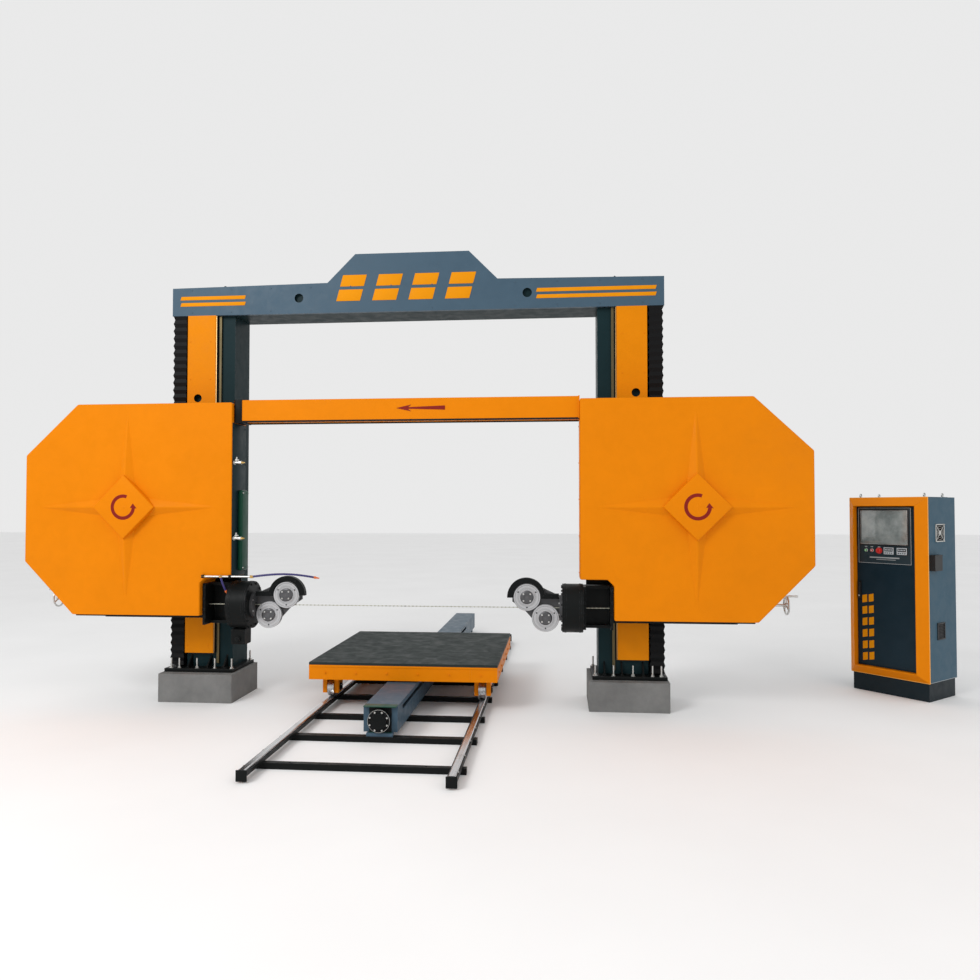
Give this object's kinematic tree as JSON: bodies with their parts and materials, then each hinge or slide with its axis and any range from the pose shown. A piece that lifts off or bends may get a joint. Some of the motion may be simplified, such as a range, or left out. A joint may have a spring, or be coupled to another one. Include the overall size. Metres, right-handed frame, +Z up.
{
  "type": "stone slab wire saw",
  "caption": "Gantry diamond wire saw: guarded flywheels carry a wire loop on a lifting carriage above a rail trolley, with swivelling guide heads and a control cabinet.",
  "frame": {"origin": "on the floor under the middle of the cutting wire, at the bottom face of the drive beam's foot", "axes": "+X along the cutting wire, +Y from the operator side towards the columns and along the trolley's track, +Z up"},
  "size_m": [10.0625, 7.45, 4.86],
  "materials": {
    "orange_paint": "gloss enamel",
    "teal_paint": "gloss enamel",
    "beam_paint": "gloss enamel",
    "black_paint": "semi-gloss",
    "green_paint": "gloss enamel",
    "table_paint": "satin",
    "cabinet_paint": "powder coat",
    "door_paint": "powder coat",
    "grey_casting": "painted casting",
    "machined_steel": "turned",
    "ground_steel": "ground",
    "bronze": "turned",
    "diamond_wire": "beaded rope",
    "concrete": "cast concrete",
    "bellows_rubber": "matte",
    "belt_rubber": "matte",
    "hose_plastic": "moulded",
    "black_plastic": "moulded",
    "red_plastic": "moulded",
    "green_plastic": "moulded"
  },
  "bodies": {
    "root": {"plinths": "concrete", "base_plates": "black_paint", "columns": "teal_paint", "column_covers": "orange_paint", "lift_rails": "ground_steel", "top_beam": "teal_paint", "beam_cover": "beam_paint", "lift_gearboxes": "grey_casting", "track_frame": "black_paint", "track_rails": "ground_steel", "drive_beam": "beam_paint", "drive_beam_end": "black_paint", "cabinet_shell": "cabinet_paint", "pendant_box": "black_plastic", "bellows_upper": "bellows_rubber", "bellows_lower": "bellows_rubber"},
    "cross_shaft": {"cross_shaft": "ground_steel"},
    "lift_screw_left": {"lift_screw_left": "ground_steel"},
    "lift_screw_right": {"lift_screw_right": "ground_steel"},
    "drive_screw": {"drive_screw": "ground_steel"},
    "carriage": {"carriage_plates": "black_paint", "lift_runners": "machined_steel", "wire_duct": "orange_paint", "guard_left": "orange_paint", "guard_right": "orange_paint", "guard_backs": "black_paint", "head_housings": "black_paint", "swivel_motor": "black_paint", "coolant_line": "hose_plastic"},
    "tension_left": {"tension_slide_left": "grey_casting", "main_motor": "green_paint", "drive_belt": "belt_rubber", "belt_guard": "black_paint", "wire_left": "diamond_wire"},
    "tension_right": {"tension_slide_right": "grey_casting", "wire_right": "diamond_wire"},
    "flywheel_left": {"flywheel_left": "grey_casting"},
    "flywheel_right": {"flywheel_right": "grey_casting"},
    "motor_pulley": {"motor_pulley": "grey_casting"},
    "handwheel_left": {"handwheel_left": "machined_steel"},
    "handwheel_right": {"handwheel_right": "machined_steel"},
    "head_left": {"head_arm_left": "machined_steel", "wheel_guard_left": "black_paint"},
    "head_right": {"head_arm_right": "machined_steel", "wheel_guard_right": "black_paint"},
    "guide_wheel_upper_left": {"guide_wheel_upper_left": "machined_steel"},
    "guide_wheel_upper_right": {"guide_wheel_upper_right": "machined_steel"},
    "guide_wheel_lower_left": {"guide_wheel_lower_left": "machined_steel"},
    "guide_wheel_lower_right": {"guide_wheel_lower_right": "machined_steel"},
    "trolley": {"table_top": "table_paint", "table_frame": "orange_paint", "drive_nut": "bronze"},
    "front_wheels": {"front_wheels": "machined_steel"},
    "rear_wheels": {"rear_wheels": "machined_steel"},
    "door": {"cabinet_door": "door_paint"},
    "door_lock": {"door_lock": "black_plastic"},
    "start_button": {"start_button": "green_plastic"},
    "stop_button": {"stop_button": "red_plastic"},
    "estop_button": {"estop_button": "red_plastic"},
    "cabinet_fan": {"cabinet_fan": "black_plastic"}
  },
  "joints": [
    {"name": "lift", "type": "slide", "parent": "root", "child": "carriage", "axis": [0, 0, 1], "range_m": [-0.4, 1.1], "deforming": ["bellows_upper", "bellows_lower"]},
    {"name": "lift_screw_left_turn", "type": "hinge", "parent": "root", "child": "lift_screw_left", "pos_m": [-2.635, 0.392, 2.3], "axis": [0, 0, 1], "range_deg": [-7201, 19801]},
    {"name": "lift_screw_right_turn", "type": "hinge", "parent": "root", "child": "lift_screw_right", "pos_m": [2.635, 0.392, 2.3], "axis": [0, 0, 1], "range_deg": [-7201, 19801]},
    {"name": "cross_shaft_turn", "type": "hinge", "parent": "root", "child": "cross_shaft", "pos_m": [0, 0.392, 4.38], "axis": [1, 0, 0], "range_deg": [-7201, 19801]},
    {"name": "tension_left_slide", "type": "slide", "parent": "carriage", "child": "tension_left", "axis": [-1, 0, 0], "range_m": [-0.04, 0.04], "deforming": ["wire_left"]},
    {"name": "tension_right_slide", "type": "slide", "parent": "carriage", "child": "tension_right", "axis": [1, 0, 0], "range_m": [-0.04, 0.04], "deforming": ["wire_right"]},
    {"name": "handwheel_left_turn", "type": "hinge", "parent": "carriage", "child": "handwheel_left", "pos_m": [-3.87, 0.12, 1.1], "axis": [-1, 0, 0], "range_deg": [-1441, 1441]},
    {"name": "handwheel_right_turn", "type": "hinge", "parent": "carriage", "child": "handwheel_right", "pos_m": [3.87, 0.12, 1.1], "axis": [1, 0, 0], "range_deg": [-1441, 1441]},
    {"name": "flywheel_left_spin", "type": "hinge", "parent": "tension_left", "child": "flywheel_left", "pos_m": [-2.94, 0, 2.09], "axis": [0, 1, 0], "continuous": true},
    {"name": "flywheel_right_spin", "type": "hinge", "parent": "tension_right", "child": "flywheel_right", "pos_m": [2.94, 0, 2.09], "axis": [0, 1, 0], "continuous": true},
    {"name": "motor_pulley_spin", "type": "hinge", "parent": "tension_left", "child": "motor_pulley", "pos_m": [-2.94, 0.375, 1.54], "axis": [0, 1, 0], "continuous": true},
    {"name": "head_left_swivel", "type": "hinge", "parent": "carriage", "child": "head_left", "pos_m": [-1.606, 0, 1.065], "axis": [1, 0, 0], "range_deg": [-90, 90]},
    {"name": "head_right_swivel", "type": "hinge", "parent": "carriage", "child": "head_right", "pos_m": [1.606, 0, 1.065], "axis": [1, 0, 0], "range_deg": [-90, 90]},
    {"name": "trolley_slide", "type": "slide", "parent": "root", "child": "trolley", "axis": [0, 1, 0], "range_m": [-1.5, 2.5]},
    {"name": "front_wheels_roll", "type": "hinge", "parent": "trolley", "child": "front_wheels", "pos_m": [0, 0.13, 0.19525], "axis": [1, 0, 0], "range_deg": [-1508.78, 905.67]},
    {"name": "rear_wheels_roll", "type": "hinge", "parent": "trolley", "child": "rear_wheels", "pos_m": [0, 1.62, 0.19525], "axis": [1, 0, 0], "range_deg": [-1508.78, 905.67]},
    {"name": "drive_screw_turn", "type": "hinge", "parent": "root", "child": "drive_screw", "pos_m": [0, 1.7, 0.195], "axis": [0, 1, 0], "range_deg": [-27001, 45001]},
    {"name": "cabinet_door_swing", "type": "hinge", "parent": "root", "child": "door", "pos_m": [5.44193, 0.83549, 1.2], "axis": [0, 0, 1], "range_deg": [0, 85]},
    {"name": "door_lock_turn", "type": "hinge", "parent": "door", "child": "door_lock", "pos_m": [5.03569, 1.31963, 1.085], "axis": [0.766, 0.6428, 0], "range_deg": [0, 90]},
    {"name": "start_button_press", "type": "slide", "parent": "door", "child": "start_button", "axis": [0.766, 0.6428, 0], "range_m": [0, 0.004], "stiffness_N_per_m": 400, "springref_m": -0.002},
    {"name": "stop_button_press", "type": "slide", "parent": "door", "child": "stop_button", "axis": [0.766, 0.6428, 0], "range_m": [0, 0.004], "stiffness_N_per_m": 400, "springref_m": -0.002},
    {"name": "estop_button_press", "type": "slide", "parent": "door", "child": "estop_button", "axis": [0.766, 0.6428, 0], "range_m": [0, 0.006], "stiffness_N_per_m": 800, "springref_m": -0.002},
    {"name": "cabinet_fan_spin", "type": "hinge", "parent": "root", "child": "cabinet_fan", "pos_m": [5.69863, 0.95428, 1.81], "axis": [0.6428, -0.766, 0], "continuous": true},
    {"name": "guide_wheel_upper_left_spin", "type": "hinge", "parent": "head_left", "child": "guide_wheel_upper_left", "pos_m": [-1.262, 0, 1.17], "axis": [0, 1, 0], "continuous": true},
    {"name": "guide_wheel_upper_right_spin", "type": "hinge", "parent": "head_right", "child": "guide_wheel_upper_right", "pos_m": [1.262, 0, 1.17], "axis": [0, 1, 0], "continuous": true},
    {"name": "guide_wheel_lower_left_spin", "type": "hinge", "parent": "head_left", "child": "guide_wheel_lower_left", "pos_m": [-1.45, 0, 0.96], "axis": [0, 1, 0], "continuous": true},
    {"name": "guide_wheel_lower_right_spin", "type": "hinge", "parent": "head_right", "child": "guide_wheel_lower_right", "pos_m": [1.45, 0, 0.96], "axis": [0, 1, 0], "continuous": true}
  ],
  "couplings": [
    {"joint": "lift_screw_left_turn", "follows": "lift", "rad_per_m": 314.16},
    {"joint": "lift_screw_right_turn", "follows": "lift", "rad_per_m": 314.16},
    {"joint": "cross_shaft_turn", "follows": "lift", "rad_per_m": 314.16},
    {"joint": "handwheel_left_turn", "follows": "tension_left_slide", "rad_per_m": 628.32},
    {"joint": "handwheel_right_turn", "follows": "tension_right_slide", "rad_per_m": 628.32},
    {"joint": "flywheel_right_spin", "follows": "flywheel_left_spin", "ratio": 1},
    {"joint": "motor_pulley_spin", "follows": "flywheel_left_spin", "ratio": 2.931},
    {"joint": "head_right_swivel", "follows": "head_left_swivel", "ratio": 1},
    {"joint": "front_wheels_roll", "follows": "trolley_slide", "rad_per_m": -10.526},
    {"joint": "rear_wheels_roll", "follows": "trolley_slide", "rad_per_m": -10.526},
    {"joint": "drive_screw_turn", "follows": "trolley_slide", "rad_per_m": 314.16},
    {"joint": "guide_wheel_upper_left_spin", "follows": "flywheel_left_spin", "ratio": 9.7619},
    {"joint": "guide_wheel_lower_left_spin", "follows": "flywheel_left_spin", "ratio": -9.7619},
    {"joint": "guide_wheel_upper_right_spin", "follows": "flywheel_left_spin", "ratio": 9.7619},
    {"joint": "guide_wheel_lower_right_spin", "follows": "flywheel_left_spin", "ratio": -9.7619}
  ]
}
